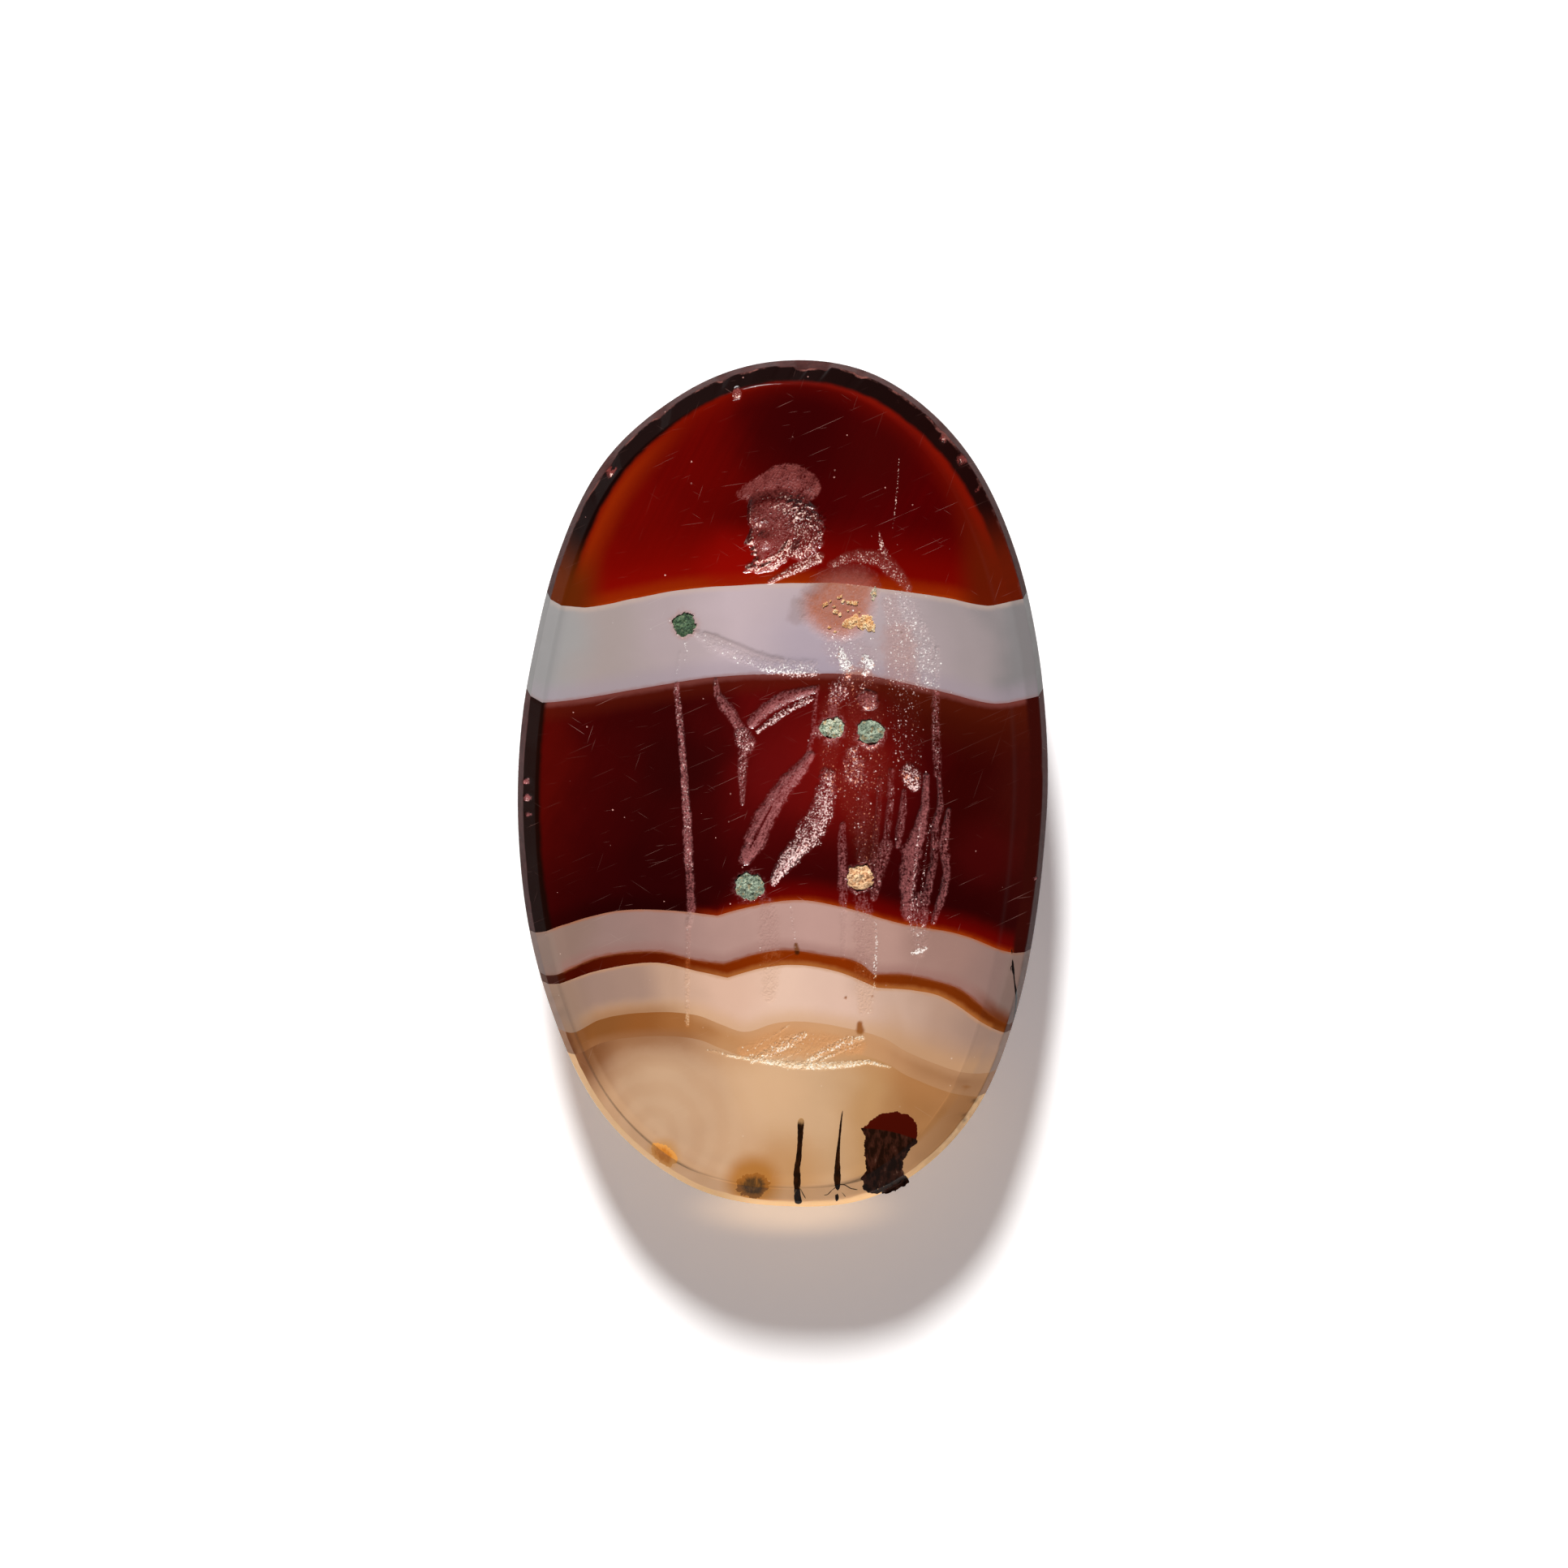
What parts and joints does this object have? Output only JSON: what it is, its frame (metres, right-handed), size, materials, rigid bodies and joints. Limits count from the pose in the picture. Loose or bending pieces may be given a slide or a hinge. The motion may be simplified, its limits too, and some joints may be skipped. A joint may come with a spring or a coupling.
{
  "type": "intaglio gem",
  "caption": "Oval ring stone of banded agate with a low domed, bevelled face engraved with a standing draped figure holding a staff, flat polished back.",
  "frame": {"origin": "middle of the flat back face, under the middle of the stone's oval", "axes": "+Y along the stone's length towards the figure's head, +X to the right seen from the engraved face, +Z out of the engraved face"},
  "size_m": [0.0106, 0.017, 0.0032],
  "materials": {
    "sard": "polished",
    "white_agate": "polished",
    "brown_agate": "polished",
    "tan_agate": "polished",
    "honey_agate": "polished",
    "green_residue": "matte",
    "ochre_residue": "matte",
    "dark_mineral": "polished",
    "plume_mineral": "polished",
    "brown_mineral": "polished"
  },
  "bodies": {
    "root": {"sard_cap": "sard", "white_band_upper": "white_agate", "sard_core": "sard", "white_band_middle": "white_agate", "brown_line": "brown_agate", "white_band_lower": "white_agate", "tan_band": "tan_agate", "honey_base": "honey_agate", "green_fill_hand": "green_residue", "green_fill_left_hip": "green_residue", "green_fill_right_hip": "green_residue", "green_fill_left_knee": "green_residue", "ochre_fill_right_knee": "ochre_residue", "ochre_fill_shoulder": "ochre_residue", "ochre_fill_chest": "ochre_residue", "needle_long": "dark_mineral", "needle_thin": "dark_mineral", "rim_vein": "dark_mineral", "plume_inclusion": "plume_mineral", "brown_spot": "brown_mineral", "tan_spot": "brown_mineral"}
  },
  "joints": []
}
